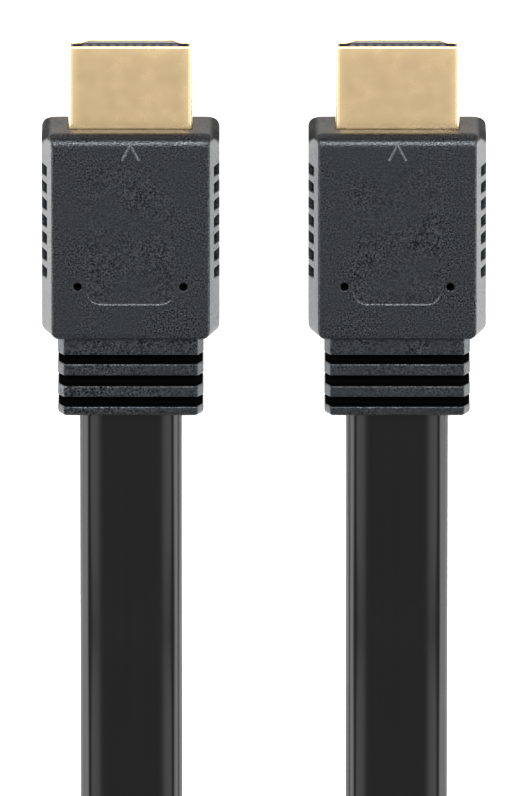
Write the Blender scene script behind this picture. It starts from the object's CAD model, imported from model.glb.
"""Flat audio and video cable with a gold-plated plug on each end, side by side on a pale floor.

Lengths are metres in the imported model's frame: plug tips towards +Y, wide faces up, floor at z = 0.
"""
import math

import bpy
import numpy as np
from bpy.props import FloatProperty, FloatVectorProperty, IntProperty, PointerProperty
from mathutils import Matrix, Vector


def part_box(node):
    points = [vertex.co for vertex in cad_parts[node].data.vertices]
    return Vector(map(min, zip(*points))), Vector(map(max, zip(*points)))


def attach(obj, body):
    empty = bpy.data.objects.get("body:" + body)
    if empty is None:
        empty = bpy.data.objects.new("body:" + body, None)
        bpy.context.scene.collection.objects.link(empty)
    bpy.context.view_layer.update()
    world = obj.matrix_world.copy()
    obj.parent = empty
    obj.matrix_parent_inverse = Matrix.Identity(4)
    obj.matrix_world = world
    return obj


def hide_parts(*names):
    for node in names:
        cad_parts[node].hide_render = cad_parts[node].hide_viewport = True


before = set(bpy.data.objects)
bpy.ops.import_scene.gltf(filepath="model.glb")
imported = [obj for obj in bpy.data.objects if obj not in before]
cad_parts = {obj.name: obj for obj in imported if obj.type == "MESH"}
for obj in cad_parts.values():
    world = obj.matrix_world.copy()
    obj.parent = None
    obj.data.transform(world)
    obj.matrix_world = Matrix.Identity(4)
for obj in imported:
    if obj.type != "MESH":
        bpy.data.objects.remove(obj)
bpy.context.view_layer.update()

bl_info = {
    "name": "Flat cable with two plugs",
    "version": (1, 0, 0),
    "blender": (4, 5, 0),
    "location": "View3D > Sidebar > Flat Cable",
    "description": "Dresses the packed flat cable: housings, plated shells, inserts, contacts and cable",
    "category": "Add Mesh",
}

MM = 0.001
LETTERS = ("a", "b")

# Steps of each rounded corner in a section
ARC_STEPS = 6
# Share of the shell's corner radius at each corner of its outline, from the upper left one clockwise
SHELL_ROUNDING = np.array([1, 1, 0.8, 0.5, 1, 1, 0.5, 0.8])
# Corner radii of the grip's section, from the upper left one clockwise
GRIP_RADII = np.array([0.35, 0.35, 1, 0.5, 0.5, 0.5, 0.5, 1]) * MM
# Length of the slanted ends of a grip slot
GRIP_SLOPE = 0.14 * MM
# Cells along each side of the square patch round a pin mark, and half its width in hole radii
HOLE_CELLS = 8
HOLE_REACH = 1.7
# Dullness of the wall beside the shell, and of that wall's outer corners
WALL_DULLNESS = 0.55
CORNER_DULLNESS = 0.9
# Depth of the cable's entry into the strain relief, and of the cable in it
ENTRY_DEPTH = 2.5 * MM
CABLE_OVERLAP = 2 * MM
# Width and height of the arrow's raised line
ARROW_LINE = 0.28 * MM
ARROW_RISE = 0.1 * MM

CAMERA_TILT = math.radians(12.8)
CAMERA_LENS = 1000
SENSOR = 36
# The photograph is 527 by 796 pixels of 0.113 mm where the plugs lie, and its middle lies 21.1 mm behind
# the origin
VIEW_HEIGHT = 796 * 0.113 * MM
VIEW_AIM = (-0.05 * MM, -21.1 * MM, 0)
# The soft light: its place and size in metres, and how far it leans away from the plugs
KEY_PLACE = (0, 0.45, 0.95)
KEY_SIZE = (1.2, 0.35)
KEY_LEAN = math.atan2(0.47, 0.95)
# Brightness of the room where no lamp or panel is
ROOM_LIGHT = 0.4
FLOOR_RADIUS = 2


def node_box(name):
    """Lowest and highest corner of a CAD node, as arrays."""
    low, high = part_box(name)
    return np.array(low), np.array(high)


def length(name, mm, description):
    return FloatProperty(name=name, description=description, default=mm * MM, min=0, unit="LENGTH", precision=5)


def linear(code):
    """The linear colour of an sRGB hex value, with full alpha."""
    srgb = np.array([int(code[place:place + 2], 16) for place in (0, 2, 4)]) / 255
    curve = np.where(srgb <= 0.04045, srgb / 12.92, ((srgb + 0.055) / 1.055) ** 2.4)
    return (*(float(value) for value in curve), 1.0)


def colour(name, code, description):
    return FloatVectorProperty(name=name, description=description, default=linear(code), size=4, min=0, max=1,
                               subtype="COLOR")


class HousingSizes(bpy.types.PropertyGroup):
    top_width: length("Top width", 17.7, "Width of the upper face, up to where its edges start to round")
    slope_start: length("Slope start", 1.0, "Height above the middle where the side walls start to slope")
    lower_edge: length("Lower edges", 0.5, "Width of the bevel along the lower edges")
    front_edge: length("Front edge", 1.4, "Radius of the front's upper edge")
    low_front_edge: length("Lower front edge", 1, "Radius of the front's lower edge")
    rear_edge: length("Rear edge", 0.6, "Radius of the edges round the back")
    front_corner: length("Front corners", 1.15, "Radius of the front corners, seen from above")
    rear_corner: length("Rear corners", 1.0, "Radius of the rear corners, seen from above")
    top_corner: length("Top corners", 0.35, "Radius of the front corners of the upper face")
    body_length: length("Body length", 23.6, "Length of the grip, without its strain relief")
    body_width: length("Body width", 20, "Width of the grip at mid height")
    body_height: length("Body height", 11, "Height of the grip")
    grip_count: IntProperty(name="Grip slots", description="Slots on each side", default=7, min=0)
    grip_pitch: length("Grip pitch", 1.95, "Distance from slot to slot")
    grip_length: length("Grip length", 1.15, "Length of a slot along the plug")
    grip_depth: length("Grip depth", 0.62, "Depth of a slot from the side")
    grip_first: length("First grip", 4.7, "Distance of the first slot's middle from the front")
    grip_web: length("Grip web", 2, "Height of the wall left between upper and lower slots")
    panel_width: length("Panel width", 10.05, "Width of the sunk field on the upper face")
    panel_length: length("Panel length", 15.75, "Length of the sunk field")
    panel_corner: length("Panel corner", 1.7, "Corner radius of the sunk field")
    panel_front: length("Panel front", 3.8, "Distance of the sunk field from the front")
    panel_depth: length("Panel depth", 0.08, "Depth of the sunk field")
    hole_radius: length("Hole radius", 0.47, "Radius of the two pin marks")
    hole_depth: length("Hole depth", 2.4, "Depth of the two pin marks")
    hole_out: length("Hole place", 5.95, "Distance of a pin mark from the middle")
    hole_front: length("Hole front", 17.45, "Distance of a pin mark from the front")
    arrow_length: length("Arrow length", 1.75, "Length of the arrow head that marks the upper face")
    arrow_half: length("Arrow half width", 0.95, "Half width of the arrow head")
    arrow_front: length("Arrow front", 1.2, "Distance of the arrow's point from the front")


class ReliefSizes(bpy.types.PropertyGroup):
    width: length("Width", 16.4, "Width of the ribs at mid height")
    top_width: length("Top width", 15.04, "Width of the ribs' flat tops")
    height: length("Height", 8, "Height of the ribs")
    side_height: length("Side height", 4.8, "Height of the ribs' upright sides")
    core_width: length("Core width", 16.24, "Width between the ribs")
    core_height: length("Core height", 4.4, "Height between the ribs")
    collar: length("Collar", 2.05, "Length of the collar next to the grip")
    rib_1: length("Rib 1", 1.36, "Length of the first rib")
    rib_2: length("Rib 2", 1.3, "Length of the second rib")
    rib_3: length("Rib 3", 1.12, "Length of the last rib")
    groove_1: length("Groove 1", 1, "Length of the first groove")
    groove_2: length("Groove 2", 1.18, "Length of the second groove")
    groove_3: length("Groove 3", 1.07, "Length of the last groove")
    edge: length("Rib edge", 0.15, "Radius of the ribs' edges")


class ShellSizes(bpy.types.PropertyGroup):
    side_height: length("Side height", 2.75, "Height of the shell's upright sides")
    ledge_width: length("Ledge width", 11.4, "Width below the step in the sides")
    ledge_drop: length("Ledge drop", 0.15, "Fall of the step in the sides")
    bottom_width: length("Bottom width", 9.44, "Width of the narrow face")
    corner: length("Corner", 0.45, "Radius of the upper corners")
    wall: length("Wall", 0.3, "Thickness of the shell's wall")
    lip: length("Lip", 0.16, "Radius of the rounded rim at the tip")
    gap: length("Seat gap", 0.06, "Gap between the shell and its seat in the housing")
    mouth_rise: length("Mouth rise", 0.4, "Extra gap above the shell at the mouth of its seat")


class InsertSizes(bpy.types.PropertyGroup):
    slot_width: length("Slot width", 10.8, "Width of the slot for the tongue")
    slot_height: length("Slot height", 1.5, "Height of the slot")
    slot_depth: length("Slot depth", 7.2, "Depth of the slot")
    slot_rise: length("Slot rise", 0.35, "Height of the slot's middle above the shell's middle")
    rib_height: length("Rib height", 0.16, "Height of the ribs between the contacts")
    pitch: length("Contact pitch", 1, "Distance from contact to contact")


class CableSizes(bpy.types.PropertyGroup):
    width: length("Width", 11.5, "Width of the flat cable")
    thickness: length("Thickness", 3.2, "Thickness of the flat cable")
    flat_width: length("Flat width", 6.8, "Width of the cable's flat middle")
    shoulder_width: length("Shoulder width", 10.3, "Width between the upper edges of the cable's sides")
    shoulder_drop: length("Shoulder drop", 0.25, "Fall from the flat middle to the sides' upper edges")
    length: length("Length", 1416, "Length between the two strain reliefs")
    coil_back: length("Coil place", 173.3, "Distance of the coil's middle behind the strain reliefs")
    coil_radius: length("Coil radius", 51.7, "Radius of the outermost turns")
    turn_pitch: length("Turn pitch", 4.15, "Distance from turn to turn")


class Finishes(bpy.types.PropertyGroup):
    gold: colour("Gold plating", "FFE0AD", "Plating on the shells")
    contact: colour("Contact plating", "F3CE86", "Plating on the contacts")
    housing: colour("Housing PVC", "07080A", "Black moulded PVC")
    insert: colour("Insert plastic", "1A1C20", "Black insulating plastic")
    jacket: colour("Cable PVC", "070708", "Black extruded jacket")
    floor: colour("Floor", "F4F4F4", "Pale floor")
    floor_glow: FloatProperty(name="Floor glow", description="Light that the floor gives off", default=0.7, min=0)
    key_power: FloatProperty(name="Key light", description="Power of the soft light above the tips", default=22, min=0,
                             unit="POWER")
    overhead: FloatProperty(name="Overhead light", description="Brightness straight above", default=0.4, min=0)
    strips: FloatProperty(name="Strip lights", description="Brightness of the strips left and right of the middle",
                          default=1.8, min=0)
    rear: FloatProperty(name="Rear light", description="Brightness of the panel behind", default=0.9, min=0)
    walls: FloatProperty(name="Side light", description="Brightness of the panels on the left and right", default=4,
                         min=0)


class CableSettings(bpy.types.PropertyGroup):
    housing: PointerProperty(type=HousingSizes)
    relief: PointerProperty(type=ReliefSizes)
    shell: PointerProperty(type=ShellSizes)
    insert: PointerProperty(type=InsertSizes)
    cable: PointerProperty(type=CableSizes)
    finish: PointerProperty(type=Finishes)


# Materials


def add_node(tree, kind, inputs=None, **settings):
    """Add a shader node, set its attributes and its inputs; an input that is a socket is linked."""
    node = tree.nodes.new("ShaderNode" + kind)
    for key, value in settings.items():
        setattr(node, key, value)
    for key, value in (inputs or {}).items():
        if isinstance(value, bpy.types.NodeSocket):
            tree.links.new(value, node.inputs[key])
        else:
            node.inputs[key].default_value = value
    return node


def noise(tree, place, size, detail):
    """Noise with patches about a size across, in millimetres."""
    return add_node(tree, "TexNoise", {"Vector": place, "Scale": 1 / (size * MM), "Detail": detail}).outputs["Fac"]


def ramp(tree, value, start, end, low, high, **settings):
    """A value from start to end turned into one from low to high."""
    return add_node(tree, "MapRange", {"Value": value, "From Min": start, "From Max": end,
                                       "To Min": low, "To Max": high}, **settings).outputs[0]


def combine(tree, operation, first, second):
    return add_node(tree, "Math", {0: first, 1: second}, operation=operation).outputs[0]


def mix(tree, factor, first, second):
    return add_node(tree, "Mix", {"Factor": factor, "A": first, "B": second}, data_type="RGBA").outputs["Result"]


def bump(tree, strength, depth, height):
    """A normal from a height; the depth is in millimetres."""
    return add_node(tree, "Bump", {"Strength": strength, "Distance": depth * MM, "Height": height}).outputs[0]


def new_material(name):
    """A material without nodes, and its node tree."""
    material = bpy.data.materials.new(name)
    material.use_nodes = True
    material.node_tree.nodes.clear()
    return material, material.node_tree


def close_material(material, inputs):
    """Give a material its surface: a Principled shader with these inputs."""
    shader = add_node(material.node_tree, "BsdfPrincipled", inputs)
    add_node(material.node_tree, "OutputMaterial", {"Surface": shader.outputs[0]})
    return material


def moulded_pvc(finish):
    """Black PVC from a spark-eroded mould: pits and peaks up to 0.2 mm across that break its shine into glints."""
    material, tree = new_material("moulded_pvc_spark_eroded")
    place = add_node(tree, "TexCoord").outputs["Object"]
    grain = noise(tree, place, 0.2, 3)
    pits = add_node(tree, "TexVoronoi", {"Vector": place, "Scale": 1 / (0.17 * MM)}).outputs["Distance"]
    # Recesses and the wall round the shell come from rougher parts of the mould, which leave them dull;
    # the arrow comes from a line cut into the steel, which leaves it shiny
    dull = add_node(tree, "Attribute", attribute_name="dull").outputs["Fac"]
    gloss = ramp(tree, dull, -1, 1, 1, 0)
    glint = ramp(tree, grain, 0.36, 0.64, 0.2, 1.8)
    # The grain is coarser in some places than in others, as the mould's steel wears
    wear = ramp(tree, noise(tree, place, 6, 2), 0.35, 0.65, 0.3, 1.3)
    uneven = ramp(tree, wear, 0, 1, 1, glint, clamp=False)
    tint = mix(tree, grain, finish.housing, linear("101214"))
    return close_material(material, {
        "Base Color": mix(tree, dull, tint, linear("070707")), "Roughness": ramp(tree, dull, 0, 1, 0.3, 0.72),
        "Specular IOR Level": combine(tree, "MULTIPLY", gloss, uneven), "Specular Tint": linear("EEF7FF"),
        "IOR": 1.53, "Normal": bump(tree, 0.7, 0.03, combine(tree, "ADD", grain, pits))})


def extruded_pvc(finish):
    """Black PVC jacket from a smooth die: satin, with faint lines along the cable that the die leaves."""
    material, tree = new_material("extruded_pvc_satin")
    place = add_node(tree, "UVMap", uv_map="along").outputs[0]
    # The map is in metres: across the jacket, then along it. The lines are 0.25 mm apart and 60 mm long.
    stretched = add_node(tree, "Mapping", {"Vector": place, "Scale": (1 / (0.25 * MM), 1 / (60 * MM), 1)})
    lines = add_node(tree, "TexNoise", {"Vector": stretched.outputs[0], "Scale": 1, "Detail": 3},
                     noise_dimensions="2D").outputs["Fac"]
    return close_material(material, {
        "Base Color": finish.jacket, "Roughness": ramp(tree, lines, 0.3, 0.7, 0.13, 0.17), "IOR": 1.53,
        "Normal": bump(tree, 0.12, 0.01, lines)})


def gold_plating(name, tint, low, high):
    """Thin gold over nickel on formed metal: bright, with a slight haze that differs from place to place."""
    material, tree = new_material(name)
    place = add_node(tree, "TexCoord").outputs["Object"]
    haze = ramp(tree, noise(tree, place, 1.8, 4), 0.3, 0.7, low, high)
    return close_material(material, {
        "Base Color": tint, "Metallic": 1, "Roughness": haze,
        "Normal": bump(tree, 0.05, 0.01, noise(tree, place, 0.12, 2))})


def insulator_plastic(finish):
    """Black glass-filled polyester, moulded: dull, with short fibres that speckle the surface."""
    material, tree = new_material("insulator_plastic_moulded")
    place = add_node(tree, "TexCoord").outputs["Object"]
    fibres = noise(tree, place, 0.2, 3)
    return close_material(material, {
        "Base Color": mix(tree, fibres, finish.insert, linear("2A2D33")), "Roughness": 0.45, "IOR": 1.57,
        "Normal": bump(tree, 0.2, 0.01, fibres)})


def floor_paint(finish):
    """White translucent table top, lit softly from below."""
    material, _ = new_material("floor_white_matt")
    return close_material(material, {
        "Base Color": finish.floor, "Roughness": 0.9, "Specular IOR Level": 0.1,
        "Emission Color": finish.floor, "Emission Strength": finish.floor_glow})


# Meshes


def grid_quads(rows, columns, close_rows=False):
    """Corner numbers of the quads of a grid whose columns close on themselves."""
    row = np.arange(rows if close_rows else rows - 1)[:, None]
    column = np.arange(columns)[None, :]
    below = (row + 1) % rows * columns
    beside = (column + 1) % columns
    here = row * columns
    quads = np.stack([here + column, here + beside, below + beside, below + column], -1)
    return quads.reshape(-1, 4)


def fan(ring, centre):
    """Corner numbers of the triangles from a ring of points to one point."""
    return np.stack([ring, np.roll(ring, -1), np.full(len(ring), centre)], -1)


def outwards(points, faces):
    """The faces of a closed mesh, turned round if they point inwards.

    Its volume is a sixth of the sum of each corner's triple product, and is below zero if they do.
    """
    total = 0.0
    for part in faces:
        first = points[part[:, 0]]
        for place in range(1, part.shape[1] - 1):
            cross = np.cross(points[part[:, place]], points[part[:, place + 1]])
            total += float((first * cross).sum())
    return [part[:, ::-1] for part in faces] if total < 0 else faces


def new_object(name, data):
    made = bpy.data.objects.new(name, data)
    bpy.context.scene.collection.objects.link(made)
    return made


def make_piece(name, points, faces, material, uv=None, dull=None):
    """One closed mesh object with its faces outwards, riding on the part's one body."""
    mesh = bpy.data.meshes.new(name)
    mesh.from_pydata(points.tolist(), [], [face for part in outwards(points, faces) for face in part.tolist()])
    mesh.polygons.foreach_set("use_smooth", np.ones(len(mesh.polygons), bool))
    mesh.set_sharp_from_angle(angle=math.radians(40))
    if uv is not None:
        corners = np.empty(len(mesh.loops), int)
        mesh.loops.foreach_get("vertex_index", corners)
        mesh.uv_layers.new(name="along").data.foreach_set("uv", uv[corners].ravel().astype(np.float32))
    if dull is not None:
        mesh.attributes.new("dull", "FLOAT", "POINT").data.foreach_set("value", dull.astype(np.float32))
    mesh.materials.append(material)
    piece = new_object(name, mesh)
    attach(piece, "root")
    return piece


def join_parts(*parts):
    """Several meshes, each a pair of points and faces, as one."""
    points, faces, count = [], [], 0
    for part_points, part_faces in parts:
        points.append(part_points)
        faces.extend(face + count for face in outwards(part_points, part_faces))
        count += len(part_points)
    return np.concatenate(points), faces


def capped_loft(rings):
    """Rings of points joined in a row, with both ends closed by a fan to the ring's middle."""
    rows, columns = rings.shape[:2]
    points = np.concatenate([rings.reshape(-1, 3), rings[:1].mean(1), rings[-1:].mean(1)])
    first = np.arange(columns)
    last = first + (rows - 1) * columns
    return points, [grid_quads(rows, columns), fan(first[::-1], rows * columns), fan(last, rows * columns + 1)]


def section(corners, radii, runs):
    """Closed ring round an outline of straight runs.

    Each corner is an arc that touches both of its runs, its points found by turning the spoke from one
    touching point to the other. Each run has points at the given fractions between its two arcs.
    """
    corners = np.asarray(corners, float)
    radii = np.asarray(radii, float)[:, None]
    back = np.roll(corners, 1, 0) - corners
    ahead = np.roll(corners, -1, 0) - corners
    back /= np.linalg.norm(back, axis=1, keepdims=True)
    ahead /= np.linalg.norm(ahead, axis=1, keepdims=True)
    half = np.arccos(np.clip((back * ahead).sum(1, keepdims=True), -1, 1)) / 2
    bisector = (back + ahead) / np.linalg.norm(back + ahead, axis=1, keepdims=True)
    centre = corners + bisector * radii / np.sin(half)
    start = corners + back * radii / np.tan(half) - centre
    end = corners + ahead * radii / np.tan(half) - centre
    turn = (math.pi - 2 * half)[:, None, :]
    step = np.linspace(0, 1, ARC_STEPS + 1)[None, :, None]
    spokes = np.sin((1 - step) * turn) * start[:, None] + np.sin(step * turn) * end[:, None]
    arcs = centre[:, None] + spokes / np.sin(turn)
    ring = []
    for index, fractions in enumerate(runs):
        leave = arcs[index, -1]
        arrive = arcs[(index + 1) % len(corners), 0]
        ring.append(arcs[index])
        ring.append(leave + (arrive - leave) * np.asarray(fractions)[:, None])
    return np.concatenate(ring)


def both_sides(*right):
    """An outline's corners, clockwise from its upper left one, from those of its right half."""
    left = [(-x, z) for x, z in reversed(right)]
    return np.array([left[-1], *right, *left[:-1]])


def wide_corners(width, height, top_width, side_height):
    """Eight corners of a section with upright sides at mid height and sloping faces above and below."""
    return both_sides((top_width, height), (width, side_height), (width, -side_height), (top_width, -height)) / 2


def inset(corners, distance):
    """The outline with each side moved inwards by a distance. The corners run clockwise."""
    before = corners - np.roll(corners, 1, 0)
    after = np.roll(corners, -1, 0) - corners
    before /= np.linalg.norm(before, axis=1, keepdims=True)
    after /= np.linalg.norm(after, axis=1, keepdims=True)
    inwards = np.stack([before[:, 1] + after[:, 1], -before[:, 0] - after[:, 0]], -1)
    return corners + inwards * 2 * distance / (inwards ** 2).sum(1, keepdims=True)


def placed(ring, y, plug):
    """A plug section (sideways, up) put at a place along Y in the plug's frame."""
    return np.stack([ring[:, 0] + plug.x, np.full(len(ring), y), ring[:, 1] + plug.z], -1)


class Plug:
    """Where a plug's parts lie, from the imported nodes' boxes."""

    def __init__(self, letter):
        shell_low, shell_high = node_box(f"shell_{letter}")
        housing_low, housing_high = node_box(f"housing_{letter}")
        insert_low, insert_high = node_box(f"insert_{letter}")
        self.letter = letter
        self.x = (shell_low[0] + shell_high[0]) / 2
        self.z = (shell_low[2] + shell_high[2]) / 2
        self.tip = shell_high[1]
        self.shell_back = shell_low[1]
        self.front = housing_high[1]
        self.end = housing_low[1]
        self.insert_face = insert_high[1]
        self.shell_width = shell_high[0] - shell_low[0]
        self.shell_height = shell_high[2] - shell_low[2]


def spread(*stops):
    """Rising fractions from stops (place, count): count even steps up to each place from the one before."""
    lines = [np.linspace(low, high, count, endpoint=False)
             for (low, _), (high, count) in zip(stops[:-1], stops[1:])]
    return np.append(np.concatenate(lines), stops[-1][0])


def shell_corners(plug, shell):
    """Corners of the shell's outline: wide on top, a step in each side, sloping to the narrow face below."""
    top = plug.shell_height / 2
    step = top - shell.side_height
    return both_sides((plug.shell_width / 2, top), (plug.shell_width / 2, step),
                      (shell.ledge_width / 2, step - shell.ledge_drop), (shell.bottom_width / 2, -top))


def shell_ring(plug, shell, distance, runs):
    radii = np.maximum(SHELL_ROUNDING * shell.corner - distance, 0.05 * MM)
    return section(inset(shell_corners(plug, shell), distance), radii, runs)


def corner_inset(back, radius):
    """How far a rounded corner of a radius lies inside at a distance back from the end."""
    rise = np.clip(radius - back, 0, None)
    return radius - np.sqrt(np.clip(radius ** 2 - rise ** 2, 0, None))


def body_stations(sizes):
    """Places of the grip's sections as distances from the front, closest at its ends, slots and pin marks."""
    angle = np.linspace(0, math.pi / 2, 12)
    front = np.unique(np.concatenate([radius * (1 - np.cos(angle))
                                      for radius in (sizes.front_edge, sizes.front_corner)]).round(6))
    front = front[np.append(True, np.diff(front) > 0.006 * MM)]
    rear = np.unique(np.concatenate([radius * (1 - np.cos(angle[::2]))
                                     for radius in (sizes.rear_edge, sizes.rear_corner)]).round(6))
    first = sizes.grip_first - sizes.grip_length / 2
    offsets = np.array([-0.5, -0.3, -0.1, 0.1, 0.3, 0.5]) * GRIP_SLOPE
    edges = [first + index * sizes.grip_pitch + shift
             for index in range(sizes.grip_count) for shift in (0, sizes.grip_length)]
    slots = (np.array(edges)[:, None] + offsets).ravel()
    reach = HOLE_REACH * sizes.hole_radius
    hole = sizes.hole_front + np.linspace(-1, 1, HOLE_CELLS + 1) * reach
    slots = slots[np.abs(slots - sizes.hole_front) > reach + 0.02 * MM]
    between = np.arange(front[-1] + 0.4 * MM, sizes.body_length - rear[-1] - 0.3 * MM, 0.5 * MM)
    taken = np.concatenate([slots, hole])
    clear = np.abs(between[:, None] - taken).min(1) > 0.12 * MM
    outside = np.abs(between - sizes.hole_front) > reach
    middle = np.sort(np.concatenate([taken, between[clear & outside]]))
    return np.concatenate([front, middle, sizes.body_length - rear[::-1]])


def smooth_step(value):
    """Zero below 0, one above 1, and an S-curve, 3v^2 - 2v^3, between."""
    value = np.clip(value, 0, 1)
    return value * value * (3 - 2 * value)


def grip_corners(sizes, drop, lift):
    """Corners of the grip's section: a flat top, sloping faces, upright sides and bevelled lower edges.

    The top lies a drop lower and the bottom a lift higher, and the sloping faces keep their planes.
    """
    side = sizes.body_width / 2
    high = sizes.body_height / 2
    slope = (side - sizes.top_width / 2) / (high - sizes.slope_start)
    bevel = sizes.lower_edge
    return both_sides((sizes.top_width / 2 + slope * drop, high - drop), (side, sizes.slope_start),
                      (side, bevel + lift - high), (side - bevel, lift - high))


def grip_section(sizes, back, runs):
    """The grip's section at a distance from its front.

    Circular arcs round its ends: in height by the end's edge radius, sideways by the corner radius. The
    front's corner radius shrinks from the middle up to the top.
    """
    from_rear = sizes.body_length - back
    rear = corner_inset(from_rear, sizes.rear_edge)
    drop = corner_inset(back, sizes.front_edge) + rear
    lift = corner_inset(back, sizes.low_front_edge) + rear
    ring = section(grip_corners(sizes, drop, lift), GRIP_RADII, runs)
    high = sizes.body_height / 2
    rise = np.clip((ring[:, 1] - sizes.slope_start) / (high - sizes.slope_start), 0, 1)
    side = sizes.body_width / 2 + rise * (sizes.top_width - sizes.body_width) / 2
    for distance, low, top in ((back, sizes.front_corner, sizes.top_corner),
                               (from_rear, sizes.rear_corner, sizes.rear_corner)):
        radius = low + (top - low) * rise
        ring[:, 0] *= 1 - corner_inset(distance, radius) / side
    return ring


def wall_dullness(sizes, back, ring):
    """Most on the wall's corners, less beside the shell; it fades over the upper edge and along the sides."""
    rise = np.clip((ring[:, 1] - sizes.slope_start) / (sizes.body_height / 2 - sizes.slope_start), 0, 1)
    top = ring[:, 1] > ring[:, 1].max() - 0.05 * MM
    start = np.where(top, 0.1 * MM, np.maximum(1.6 - 1.7 * rise, 0.7) * MM)
    width = np.where(top, 0.6, 0.3) * MM
    corner = smooth_step((np.abs(ring[:, 0]) - sizes.body_width / 2 + 1.3 * MM) / (0.7 * MM))
    wall = WALL_DULLNESS + (CORNER_DULLNESS - WALL_DULLNESS) * corner
    return wall * (1 - smooth_step((back - start) / width))


def cut_grips(ring, back, sizes):
    """Press the side walls in to the slots' floor where a slot is, and tell how deep each point lies.

    How far: the part of the wall beyond the floor, times an S-curve in y at the slot's ends and an
    S-curve in z at the web between the upper and the lower slots.
    """
    starts = sizes.grip_first - sizes.grip_length / 2 + np.arange(sizes.grip_count) * sizes.grip_pitch
    ends = starts + sizes.grip_length
    along = (smooth_step((back - starts) / GRIP_SLOPE + 0.5) * smooth_step((ends - back) / GRIP_SLOPE + 0.5)).max()
    up = smooth_step((np.abs(ring[:, 1]) - sizes.grip_web / 2) / GRIP_SLOPE + 0.5)
    floor = sizes.body_width / 2 - sizes.grip_depth
    beyond = np.clip(np.abs(ring[:, 0]) - floor, 0, None)
    cut = ring.copy()
    cut[:, 0] -= np.sign(ring[:, 0]) * beyond * up * along
    return cut, up * along * np.clip(beyond / (0.1 * MM), 0, 1)


def housing_runs(sizes):
    """Fractions along the eight runs of a housing section, closest at the pin marks and the grip slots."""
    half_flat = section(grip_corners(sizes, 0, 0), GRIP_RADII, [[]] * 8)[ARC_STEPS + 1, 0]
    reach = HOLE_REACH * sizes.hole_radius
    near, far = (sizes.hole_out - reach) / half_flat, (sizes.hole_out + reach) / half_flat
    right = spread((0, 0), (near, 16), (far, HOLE_CELLS), (1, 6))[:-1]
    top = (np.concatenate([-right[:0:-1], right]) + 1) / 2
    slope = spread((0, 0), (0.4, 5), (0.6, 9), (1, 8))[1:-1]
    side = spread((0, 0), (0.36, 9), (0.44, 5), (1, 7))[1:-1]
    bevel = spread((0, 0), (1, 4))[1:-1]
    bottom = spread((0, 0), (1, 24))[1:-1]
    return [top, slope, side, bevel, bottom, bevel, 1 - side[::-1], 1 - slope[::-1]]


def relief_rings(plug, settings, runs):
    """Rings of the strain relief from the grip back, each with its dullness.

    The ribs have rounded edges; the grooves between them are lower and dull, as are the walls that face them.
    """
    relief = settings.relief
    rib = wide_corners(relief.width, relief.height, relief.top_width, relief.side_height)
    core = wide_corners(relief.core_width, relief.core_height, relief.core_width - 0.4 * MM,
                        relief.core_height - 0.4 * MM)
    radii = np.full(8, 0.2 * MM)
    turn = np.linspace(0, math.pi / 2, 4)
    round_edge = np.stack([relief.edge * (1 - np.sin(turn)), relief.edge * (1 - np.cos(turn))], -1)
    round_edge = np.append(round_edge, [[0, relief.edge + 0.06 * MM]], 0)
    lengths = [relief.collar, relief.groove_1, relief.rib_1, relief.groove_2, relief.rib_2, relief.groove_3,
               relief.rib_3]
    rings = []
    end = plug.front - settings.housing.body_length
    for index, span in enumerate(lengths):
        start, end = end, end - span
        if index % 2:
            ring = section(core, radii, runs)
            rings += [(placed(ring, start, plug), 1), (placed(ring, end, plug), 1)]
            continue
        last = index == len(lengths) - 1
        for shrink, back in round_edge if index else [(0, 0)]:
            rings.append((placed(section(inset(rib, shrink), radii, runs), start - back, plug), back == 0 < index))
        for shrink, back in round_edge[::-1] * (3.2 if last else 1):
            rings.append((placed(section(inset(rib, shrink), radii, runs), end + back, plug),
                          back == 0 and not last))
    return rings


def socket_ring(plug, shell, runs, mouth):
    """Mouth of the shell's seat: the shell's outline with a gap, wider above, notched up at both corners."""
    ring = shell_ring(plug, shell, -shell.gap, runs)
    if mouth:
        top = ring[:, 1] > plug.shell_height / 2 - 0.1 * MM
        corner = np.abs(ring[:, 0]) - (plug.shell_width / 2 - 0.72 * MM)
        ring[top, 1] += shell.mouth_rise
        ring[top & (np.abs(corner) < 0.32 * MM), 1] += 0.25 * MM
    return ring


def swept_bead(path, width, height, base):
    """A roof-shaped bead along a path on a level face, with its foot below the face."""
    steps = np.diff(path, axis=0)
    ahead = np.append(steps, steps[-1:], 0)
    behind = np.insert(steps, 0, steps[0], 0)
    ahead /= np.linalg.norm(ahead, axis=1, keepdims=True)
    behind /= np.linalg.norm(behind, axis=1, keepdims=True)
    along = ahead + behind
    across = np.stack([-along[:, 1], along[:, 0]], -1) * 2 / (along ** 2).sum(1, keepdims=True)
    out = np.array([0.5, 0.5, 0, -0.5, -0.5]) * width
    up = np.array([-1, 0, 1, 0, -1]) * height
    flat = path[:, None] + across[:, None] * out[None, :, None]
    rings = np.concatenate([flat, np.broadcast_to(base + up[None, :, None], (*flat.shape[:2], 1))], -1)
    return capped_loft(rings)


def patch_border(columns, first_row, first_column, high, wide):
    """Numbers of the points round a patch of the grid, in order."""
    row = np.concatenate([np.zeros(wide), np.arange(high), np.full(wide, high), np.arange(high, 0, -1)])
    column = np.concatenate([np.arange(wide), np.full(high, wide), np.arange(wide, 0, -1), np.zeros(high)])
    return ((first_row + row) * columns + first_column + column).astype(int)


def joined_rings(points, border, rings):
    """Add rings inside a border, each joined to the one before. Returns the points, the quads and the last ring."""
    start = len(points)
    numbers = [border] + [start + index * len(border) + np.arange(len(border)) for index in range(len(rings))]
    quads = [np.stack([outer, np.roll(outer, -1), np.roll(inner, -1), inner], -1)
             for outer, inner in zip(numbers[:-1], numbers[1:])]
    return np.concatenate([points, *rings]), np.concatenate(quads), numbers[-1]


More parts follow.
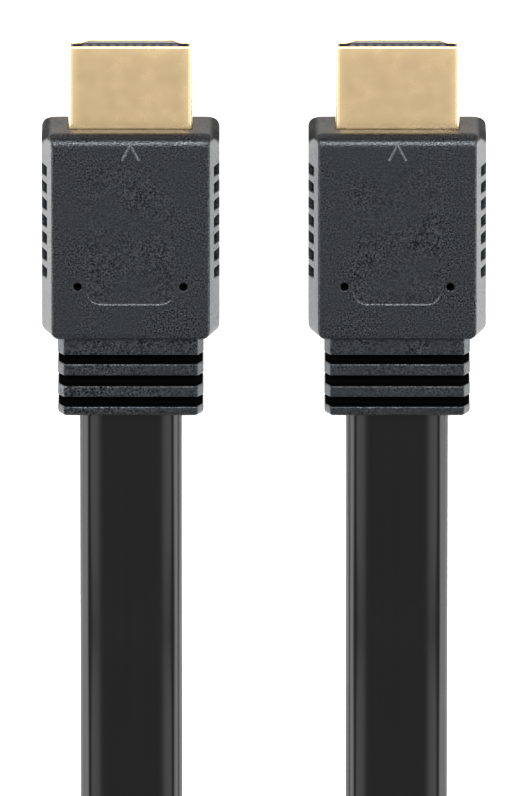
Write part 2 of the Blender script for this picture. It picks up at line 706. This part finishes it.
def sunk_panel(points, border, plug, sizes):
    """A rounded rectangle sunk into a patch of the upper face.

    Each ring follows the rectangle: from its border point, the nearest point of the rectangle's core, then
    outwards again by the corner radius. The floor is one face.
    """
    centre = np.array([plug.x, plug.front - sizes.panel_front - sizes.panel_length / 2])
    core = np.array([sizes.panel_width, sizes.panel_length]) / 2 - sizes.panel_corner
    top = plug.z + sizes.body_height / 2
    place = points[border, :2] - centre
    nearest = np.clip(place, -core, core)
    spoke = (place - nearest) / np.linalg.norm(place - nearest, axis=1, keepdims=True)
    levels = [(0.03, 0), (0, 0), (-0.12, 1), (-0.15, 1)]
    rings = [np.column_stack([centre + nearest + spoke * (sizes.panel_corner + grow * MM),
                              np.full(len(border), top - depth * sizes.panel_depth)]) for grow, depth in levels]
    points, quads, last = joined_rings(points, border, rings)
    return points, quads, last[None, :]


def pin_hole(points, border, sizes):
    """A blind round hole in a square patch of the upper face.

    The patch's border keeps its points. Circles follow it inwards: one on the face, one at the rounded
    rim, and one down the wall to a flat floor. Returns the new points and faces.
    """
    edge = points[border]
    centre = (edge.min(0) + edge.max(0)) / 2
    spokes = edge - centre
    spokes[:, 2] = 0
    spokes /= np.linalg.norm(spokes, axis=1, keepdims=True)
    rim = 0.05 * MM
    levels = [(sizes.hole_radius * 1.3, 0), (sizes.hole_radius + rim, 0), (sizes.hole_radius + 0.3 * rim, 0.3 * rim),
              (sizes.hole_radius, rim), (sizes.hole_radius, sizes.hole_depth)]
    rings = [centre + spokes * radius - np.array([0, 0, drop]) for radius, drop in levels]
    points, quads, last = joined_rings(points, border, rings)
    return points, quads, last[None, :]


def used_points(points, faces, dull):
    """Leave out the points that no face uses."""
    used = np.unique(np.concatenate([part.ravel() for part in faces]))
    number = np.zeros(len(points), int)
    number[used] = np.arange(len(used))
    return points[used], [number[part] for part in faces], dull[used]


def housing_mesh(plug, settings):
    """The overmoulded housing: rings from the shell's seat over the front, along the grip and the ribs.

    Returns its points, its faces and the dullness of each point.
    """
    sizes, shell = settings.housing, settings.shell
    runs = housing_runs(sizes)
    seat = [(False, plug.shell_back - 0.1 * MM, 1), (False, plug.front - 0.9 * MM, 1),
            (True, plug.front - 0.85 * MM, 1), (True, plug.front, WALL_DULLNESS)]
    rings = [(placed(socket_ring(plug, shell, runs, mouth), y, plug), dull) for mouth, y, dull in seat]
    first_body_row = len(rings)
    stations = body_stations(sizes)
    for back in stations:
        whole = grip_section(sizes, back, runs)
        ring, depth = cut_grips(whole, back, sizes)
        dull = np.maximum(wall_dullness(sizes, back, whole), depth)
        rings.append((placed(ring, plug.front - back, plug), dull))
    rings += relief_rings(plug, settings, runs)
    entry = cable_corners(settings.cable, 0.08 * MM)
    entry_ring = section(entry, np.full(8, 0.2 * MM), runs)
    rings += [(placed(entry_ring, y, plug), 1) for y in (plug.end, plug.end + ENTRY_DEPTH)]
    dull = np.concatenate([np.broadcast_to(value, len(ring)) for ring, value in rings])
    rings = np.stack([ring for ring, _ in rings])
    columns = rings.shape[1]
    points, (quads, first, last) = capped_loft(rings)

    reach = HOLE_REACH * sizes.hole_radius
    margin = 0.1 * MM
    first_row = first_body_row + np.flatnonzero(stations > sizes.hole_front - reach - 0.001 * MM)[0]
    panel_row = first_body_row + np.flatnonzero(stations < sizes.panel_front - margin)[-1]
    panel_end = first_body_row + np.flatnonzero(stations > sizes.panel_front + sizes.panel_length + margin)[0]
    tops = rings[first_row, :, 0] - plug.x
    top_columns = ARC_STEPS + 1 + np.arange(len(runs[0]))
    left, inner_left, inner_right = (top_columns[np.abs(tops[top_columns] - x).argmin()]
                                     for x in (-sizes.hole_out - reach, reach - sizes.hole_out,
                                               sizes.hole_out - reach))
    patches = [(first_row, left, HOLE_CELLS, HOLE_CELLS), (first_row, inner_right, HOLE_CELLS, HOLE_CELLS),
               (panel_row, inner_left, panel_end - panel_row, inner_right - inner_left)]
    keep = np.ones((len(rings) - 1, columns), bool)
    new_faces = []
    for row, column, high, wide in patches:
        keep[row:row + high, column:column + wide] = False
        border = patch_border(columns, row, column, high, wide)
        if row == first_row:
            points, walls, floor = pin_hole(points, border, sizes)
        else:
            points, walls, floor = sunk_panel(points, border, plug, sizes)
        new_faces += [walls, floor]
    height = points[len(dull):, 2] - plug.z - sizes.body_height / 2
    dull = np.concatenate([dull, smooth_step((-height - sizes.panel_depth) / (0.1 * MM))])
    return used_points(points, [quads[keep.ravel()], first, last, *new_faces], dull)


def arrow_path(plug, sizes):
    point = plug.front - sizes.arrow_front
    feet = point - sizes.arrow_length
    corners = np.array([(-sizes.arrow_half, feet), (0, point), (sizes.arrow_half, feet)])
    return corners + np.array([plug.x, 0])


def add_housing(plug, settings, material):
    sizes = settings.housing
    top = plug.z + sizes.body_height / 2
    *body, dull = housing_mesh(plug, settings)
    arrow = swept_bead(arrow_path(plug, sizes), ARROW_LINE, ARROW_RISE, top)
    points, faces = join_parts(body, arrow)
    dull = np.concatenate([dull, np.full(len(points) - len(dull), -1)])
    piece = make_piece(f"moulded_housing_{plug.letter}", points, faces, material, dull=dull)
    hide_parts(f"housing_{plug.letter}")


def add_shell(plug, settings, material):
    """The shell: its outline carried to the tip, round the rim and back along the inner wall."""
    shell = settings.shell
    runs = [spread((0, 0), (1, 12))[1:-1]] * 8
    turn = np.linspace(0, math.pi / 2, 7)
    lip = shell.lip
    outer_rim = np.stack([plug.tip - lip * (1 - np.sin(turn)), lip * (1 - np.cos(turn))], -1)
    inner_lip = 0.1 * MM
    inner_rim = np.stack([plug.tip - inner_lip * (1 - np.cos(turn)),
                          shell.wall - inner_lip * (1 - np.sin(turn))], -1)
    outside = [(y, 0) for y in np.linspace(plug.shell_back, plug.tip - lip, 9)[:-1]]
    inside = [(y, shell.wall) for y in np.linspace(plug.tip - inner_lip, plug.shell_back, 9)[1:]]
    stations = [*outside, *outer_rim, *inner_rim, *inside]
    rings = np.stack([placed(shell_ring(plug, shell, distance, runs), y, plug) for y, distance in stations])
    faces = [grid_quads(*rings.shape[:2], close_rows=True)]
    piece = make_piece(f"plated_shell_{plug.letter}", rings.reshape(-1, 3), faces, material)
    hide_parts(f"shell_{plug.letter}")


def slot_ring(insert, grow, runs, ribs):
    """Outline of the slot; its ceiling and floor are pressed down to ribs midway between contacts."""
    half_width = insert.slot_width / 2 + grow
    half_height = insert.slot_height / 2 + grow
    corners = both_sides((half_width, half_height), (half_width, half_height / 2),
                         (half_width, -half_height / 2), (half_width, -half_height))
    ring = section(corners, [0.12 * MM, 0.12 * MM, 0.02 * MM, 0.02 * MM] * 2, runs)
    if ribs:
        upper = ring[:, 1] > 0
        phase = ring[:, 0] / insert.pitch + np.where(upper, 0, 0.5)
        away = np.abs(phase - np.round(phase)) * insert.pitch
        level = np.abs(ring[:, 1]) > half_height - 0.01 * MM
        rib = smooth_step((0.2 * MM - away) / (0.06 * MM) + 0.5) * level
        ring[:, 1] -= np.where(upper, 1, -1) * rib * insert.rib_height
    return ring + np.array([0, insert.slot_rise])


def add_insert(plug, settings, material):
    """The insulating insert: the shell's inner outline, closed behind, with a ribbed slot from its face."""
    insert, shell = settings.insert, settings.shell
    fine = spread((0, 0), (1, 176))[1:-1]
    few = spread((0, 0), (1, 5))[1:-1]
    runs = [fine, few, few, few, fine, few, few, few]
    body = shell.wall + 0.08 * MM
    edge = 0.1 * MM
    face = plug.insert_face
    outline = [(plug.shell_back, body), (face - edge, body), (face - 0.3 * edge, body + 0.3 * edge),
               (face, body + edge)]
    rings = [placed(shell_ring(plug, shell, distance, runs), y, plug) for y, distance in outline]
    rings += [placed(slot_ring(insert, 0.22 * MM, runs, False), face, plug),
              placed(slot_ring(insert, 0, runs, False), face - 0.3 * MM, plug),
              placed(slot_ring(insert, 0, runs, True), face - 0.45 * MM, plug),
              placed(slot_ring(insert, 0, runs, True), face - insert.slot_depth, plug)]
    points, faces = capped_loft(np.stack(rings))
    piece = make_piece(f"moulded_insert_{plug.letter}", points, faces, material)
    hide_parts(f"insert_{plug.letter}")


# Cable


def cable_corners(cable, grow):
    """Corners of the flat cable's outline with its sides drawn as two sloping faces."""
    half = np.array([cable.width / 2, cable.thickness / 2]) + grow
    shoulder = cable.shoulder_width / 2 + grow
    return both_sides((shoulder, half[1]), (half[0], 0.3 * MM), (half[0], -0.3 * MM), (shoulder, -half[1]))


def cable_section(cable):
    """Ring round the cable: a flat middle, shoulders that fall a little, and sloping sides with rounded edges.

    It starts under the cable, which puts the seam of the surface map there.
    """
    half = cable.thickness / 2
    shoulder = half - cable.shoulder_drop
    corners = both_sides((cable.flat_width / 2, half), (cable.shoulder_width / 2, shoulder),
                         (cable.width / 2, 0.3 * MM), (cable.width / 2, -0.3 * MM),
                         (cable.shoulder_width / 2, -shoulder), (cable.flat_width / 2, -half))
    radii = np.array([8, 1.6, 0.2, 0.2, 1.6, 8]) * MM
    flat = spread((0, 0), (1, 8))[1:-1]
    run = [0.5]
    ring = section(corners, [*radii[:1], *radii, *radii[:0:-1]], [flat, run, run, [], run, run] * 2)
    return np.roll(ring, -np.hypot(ring[:, 0], ring[:, 1] + half).argmin(), 0)


# Route behind each strain relief, in millimetres: outwards, back, height of the middle on the left and on
# the right, and the turn of the flat from lying (0) to standing on edge (90 degrees)
ROUTE = [
    (0, 0, 5.5, 5.5, 0),
    (0, 5, 5.5, 5.5, 0),
    (0, 11, 5.3, 5.3, 0),
    (0, 17, 4.7, 4.7, 0),
    (0, 23, 3.8, 3.8, 0),
    (0, 29, 2.8, 2.8, 0),
    (0, 36, 2, 2, 0),
    (0, 43, 1.7, 1.7, 0),
    (0, 50, 1.7, 1.7, 0),
    (0, 58, 2.4, 2.4, 8),
    (0, 66, 3.8, 4, 26),
    (0, 74, 5.2, 6, 48),
    (0, 82, 5.8, 7.9, 68),
    (0, 90, 5.9, 9.8, 84),
    (0, 97, 5.8, 11.5, 90),
    (0.6, 104.2, 5.8, 13.3, 90),
    (2.2, 111.2, 5.8, 14.9, 90),
    (5, 117.9, 5.8, 16.2, 90),
    (8.3, 123.4, 5.8, 17, 90),
    (12.4, 128.4, 5.8, 17.4, 90),
    (17.3, 132.9, 5.8, 17.5, 90),
]


def route_points(plug, side):
    """The route behind one plug: points in metres and the turn of the flat in degrees."""
    rows = np.array(ROUTE)
    height = rows[:, 2 if side < 0 else 3]
    points = np.stack([plug.x + side * rows[:, 0] * MM, plug.end - rows[:, 1] * MM, height * MM], -1)
    return points, rows[:, 4]


def coil_points(plugs, cable, start, end):
    """The coil's turns between the two runs' last points.

    The angle grows evenly from the left run to the right one. The radius falls by the turn pitch each turn
    to the middle of the way and grows again after it, and there the cable climbs to the upper layer.
    """
    centre = np.array([(plugs[0].x + plugs[1].x) / 2, plugs[0].end - cable.coil_back])
    first = math.atan2(start[1] - centre[1], start[0] - centre[0])
    last = math.atan2(end[1] - centre[1], end[0] - centre[0]) + 8 * math.pi
    angle = np.linspace(first, last, int((last - first) / math.radians(10)))[1:-1]
    way = np.minimum(angle - first, last - angle)
    blend = math.radians(20)
    rest = (last - first) / 2 - way
    fall = way - np.where(rest < blend, (blend - rest) ** 2 / (2 * blend), 0)
    radius = cable.coil_radius - cable.turn_pitch * fall / (2 * math.pi)
    climb = smooth_step((angle - (first + last) / 2) / math.radians(90) + 0.5)
    height = start[2] + (end[2] - start[2]) * climb
    return np.stack([centre[0] + radius * np.cos(angle), centre[1] + radius * np.sin(angle), height], -1)


def spline(points, spacing):
    """A smooth line through points at even spacing.

    Each stretch is a cubic Hermite curve whose end slopes are those of the parabola through the three
    nearest points, with the distance between points as its parameter.
    """
    gap = np.linalg.norm(np.diff(points[:, :3], axis=0), axis=1)
    knots = np.concatenate([[0], np.cumsum(gap)])
    step = gap[:, None]
    chord = np.diff(points, axis=0) / step
    slope = np.empty_like(points)
    slope[1:-1] = (chord[:-1] * step[1:] + chord[1:] * step[:-1]) / (step[:-1] + step[1:])
    slope[0], slope[-1] = chord[0], chord[-1]
    places = np.linspace(0, knots[-1], int(knots[-1] / spacing) + 1)
    index = np.clip(np.searchsorted(knots, places, side="right") - 1, 0, len(gap) - 1)
    t = ((places - knots[index]) / gap[index])[:, None]
    width = step[index]
    return ((2 * t ** 3 - 3 * t ** 2 + 1) * points[index] + (t ** 3 - 2 * t ** 2 + t) * width * slope[index]
            + (3 * t ** 2 - 2 * t ** 3) * points[index + 1] + (t ** 3 - t ** 2) * width * slope[index + 1])


def add_cable(plugs, settings, material):
    """The flat cable: its section carried along the route, turned about it from lying to standing."""
    cable = settings.cable
    left, left_turn = route_points(plugs[0], -1)
    right, right_turn = route_points(plugs[1], 1)
    coil = coil_points(plugs, cable, left[-1], right[-1])
    left[0, 1] += CABLE_OVERLAP
    right[0, 1] += CABLE_OVERLAP
    points = np.concatenate([left, coil, right[::-1]])
    turns = np.concatenate([left_turn, np.full(len(coil), 90), right_turn[::-1]])
    line = spline(np.column_stack([points, turns * MM]), 1.5 * MM)
    path, turn = line[:, :3], np.radians(line[:, 3] / MM)[:, None]
    along = np.gradient(path, axis=0)
    along /= np.linalg.norm(along, axis=1, keepdims=True)
    level = np.cross(along, (0, 0, 1))
    level /= np.linalg.norm(level, axis=1, keepdims=True)
    upward = np.cross(level, along)
    across = level * np.cos(turn) + upward * np.sin(turn)
    through = np.cross(across, along)
    ring = cable_section(cable)
    rings = (path[:, None] + across[:, None] * ring[None, :, :1] + through[:, None] * ring[None, :, 1:])
    mesh_points, faces = capped_loft(rings)
    girth = np.concatenate([[0], np.cumsum(np.linalg.norm(np.diff(ring, axis=0), axis=1))])
    travel = np.concatenate([[0], np.cumsum(np.linalg.norm(np.diff(path, axis=0), axis=1))])
    uv = np.stack(np.broadcast_arrays(girth[None, :], travel[:, None]), -1).reshape(-1, 2)
    uv = np.concatenate([uv, [[0, 0], [0, travel[-1]]]])
    piece = make_piece("flat_cable_jacket", mesh_points, faces, material, uv=uv)
    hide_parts("cable_a", "cable_b", "cable_coil")


# Stage


def add_camera():
    """A long lens, turned from above towards the plugs' tips, with +Y up in the picture."""
    distance = VIEW_HEIGHT / 2 / (SENSOR / 2 / CAMERA_LENS)
    data = bpy.data.cameras.new("photo_camera")
    data.lens = CAMERA_LENS
    data.sensor_width = SENSOR
    data.clip_end = 20
    camera = new_object("photo_camera", data)
    camera.location = (VIEW_AIM[0], VIEW_AIM[1] + distance * math.sin(CAMERA_TILT),
                       distance * math.cos(CAMERA_TILT))
    camera.rotation_euler = (-CAMERA_TILT, 0, 0)
    bpy.context.scene.camera = camera


def add_key_light(power):
    """A soft rectangular light above and beyond the tips. It leans away, so the plugs get its weaker slanting light."""
    data = bpy.data.lights.new("key_softbox", "AREA")
    data.shape = "RECTANGLE"
    data.size, data.size_y = KEY_SIZE
    data.energy = power
    light = new_object("key_softbox", data)
    light.location = KEY_PLACE
    light.rotation_euler = (KEY_LEAN, 0, 0)
    light.visible_camera = False


def add_surroundings(finish):
    """A room with a dim ceiling between two strips, tall bright panels left and right, and a soft one behind."""
    world = bpy.data.worlds.new("studio")
    bpy.context.scene.world = world
    world.use_nodes = True
    tree = world.node_tree
    tree.nodes.clear()
    direction = add_node(tree, "TexCoord").outputs["Generated"]
    parts = add_node(tree, "SeparateXYZ", {0: direction}).outputs
    sideways = add_node(tree, "Math", {0: parts["X"]}, operation="ABSOLUTE").outputs[0]

    def soft_ramp(*values):
        return ramp(tree, *values, interpolation_type="SMOOTHSTEP")

    ceiling = combine(tree, "MULTIPLY", soft_ramp(parts["Z"], 0.72, 0.86, 0, 1), soft_ramp(sideways, 0.42, 0.54, 1, 0))
    lamps = soft_ramp(sideways, 0.1, 0.28, finish.overhead - ROOM_LIGHT, finish.strips - ROOM_LIGHT)
    walls = soft_ramp(sideways, 0.68, 0.84, ROOM_LIGHT, finish.walls)
    behind = combine(tree, "MULTIPLY", soft_ramp(parts["Y"], -0.75, -0.55, finish.rear, 0),
                     soft_ramp(parts["Z"], 0.2, 0.4, 0, 1))
    total = combine(tree, "ADD", combine(tree, "ADD", combine(tree, "MULTIPLY", ceiling, lamps), walls), behind)
    shader = add_node(tree, "Background", {"Strength": total})
    add_node(tree, "OutputWorld", {"Surface": shader.outputs[0]})


def add_floor(finish):
    """A round floor."""
    angle = np.linspace(0, 2 * math.pi, 97)[:-1]
    rim = FLOOR_RADIUS * np.stack([np.cos(angle), np.sin(angle), 0 * angle], -1)
    mesh = bpy.data.meshes.new("floor")
    mesh.from_pydata(rim.tolist(), [], [list(range(len(rim)))])
    mesh.materials.append(floor_paint(finish))
    new_object("floor", mesh)


# Operators


def dress_plugs(context, add_part, material):
    """Add one part to each of the two plugs."""
    for letter in LETTERS:
        add_part(Plug(letter), context.scene.flat_cable, material)
    return {"FINISHED"}


class FLATCABLE_OT_stage(bpy.types.Operator):
    """Add the floor, the lights and the camera"""
    bl_idname = "flatcable.add_stage"
    bl_label = "Stage"

    def execute(self, context):
        finish = context.scene.flat_cable.finish
        add_camera()
        add_floor(finish)
        add_surroundings(finish)
        add_key_light(finish.key_power)
        context.scene.view_settings.view_transform = "Standard"
        return {"FINISHED"}


class FLATCABLE_OT_cable(bpy.types.Operator):
    """Add the flat cable with its coil"""
    bl_idname = "flatcable.add_cable"
    bl_label = "Flat cable"

    def execute(self, context):
        settings = context.scene.flat_cable
        add_cable([Plug(letter) for letter in LETTERS], settings, extruded_pvc(settings.finish))
        return {"FINISHED"}


class FLATCABLE_OT_housings(bpy.types.Operator):
    """Add both moulded housings with their strain reliefs"""
    bl_idname = "flatcable.add_housings"
    bl_label = "Housings"

    def execute(self, context):
        finish = context.scene.flat_cable.finish
        return dress_plugs(context, add_housing, moulded_pvc(finish))


class FLATCABLE_OT_shells(bpy.types.Operator):
    """Add both gold-plated shells"""
    bl_idname = "flatcable.add_shells"
    bl_label = "Shells"

    def execute(self, context):
        finish = context.scene.flat_cable.finish
        return dress_plugs(context, add_shell, gold_plating("gold_plating_formed", finish.gold, 0.25, 0.28))


class FLATCABLE_OT_inserts(bpy.types.Operator):
    """Add both insulating inserts"""
    bl_idname = "flatcable.add_inserts"
    bl_label = "Inserts"

    def execute(self, context):
        finish = context.scene.flat_cable.finish
        return dress_plugs(context, add_insert, insulator_plastic(finish))


class FLATCABLE_OT_contacts(bpy.types.Operator):
    """Plate the contacts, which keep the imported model's shape"""
    bl_idname = "flatcable.plate_contacts"
    bl_label = "Contacts"

    def execute(self, context):
        material = gold_plating("gold_plating_stamped", context.scene.flat_cable.finish.contact, 0.12, 0.2)
        contacts = [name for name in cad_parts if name.startswith("contact_")]
        if not contacts:
            raise RuntimeError("the packed model has no contacts")
        for name in contacts:
            for slot in bpy.data.objects[name].material_slots:
                slot.material = material
        return {"FINISHED"}


class FLATCABLE_PT_panel(bpy.types.Panel):
    """Sizes, finishes and the steps that make the cable"""
    bl_idname = "FLATCABLE_PT_panel"
    bl_label = "Flat Cable"
    bl_space_type = "VIEW_3D"
    bl_region_type = "UI"
    bl_category = "Flat Cable"

    def draw(self, context):
        settings = context.scene.flat_cable
        for group in ("housing", "relief", "shell", "insert", "cable", "finish"):
            box = self.layout.box()
            box.label(text=group.title())
            values = getattr(settings, group)
            for name in values.bl_rna.properties.keys():
                if name not in ("name", "rna_type"):
                    box.prop(values, name)
        for step in STEPS:
            self.layout.operator(step.bl_idname)


GROUPS = (HousingSizes, ReliefSizes, ShellSizes, InsertSizes, CableSizes, Finishes, CableSettings)
STEPS = (FLATCABLE_OT_stage, FLATCABLE_OT_cable, FLATCABLE_OT_housings, FLATCABLE_OT_shells,
         FLATCABLE_OT_inserts, FLATCABLE_OT_contacts)


def register():
    for group in (*GROUPS, *STEPS, FLATCABLE_PT_panel):
        bpy.utils.register_class(group)
    bpy.types.Scene.flat_cable = PointerProperty(type=CableSettings)


def unregister():
    del bpy.types.Scene.flat_cable
    for group in reversed((*GROUPS, *STEPS, FLATCABLE_PT_panel)):
        bpy.utils.unregister_class(group)


def main():
    register()
    bpy.ops.flatcable.add_stage()
    bpy.ops.flatcable.add_cable()
    bpy.ops.flatcable.add_housings()
    bpy.ops.flatcable.add_shells()
    bpy.ops.flatcable.add_inserts()
    bpy.ops.flatcable.plate_contacts()


if __name__ == "__main__":
    main()
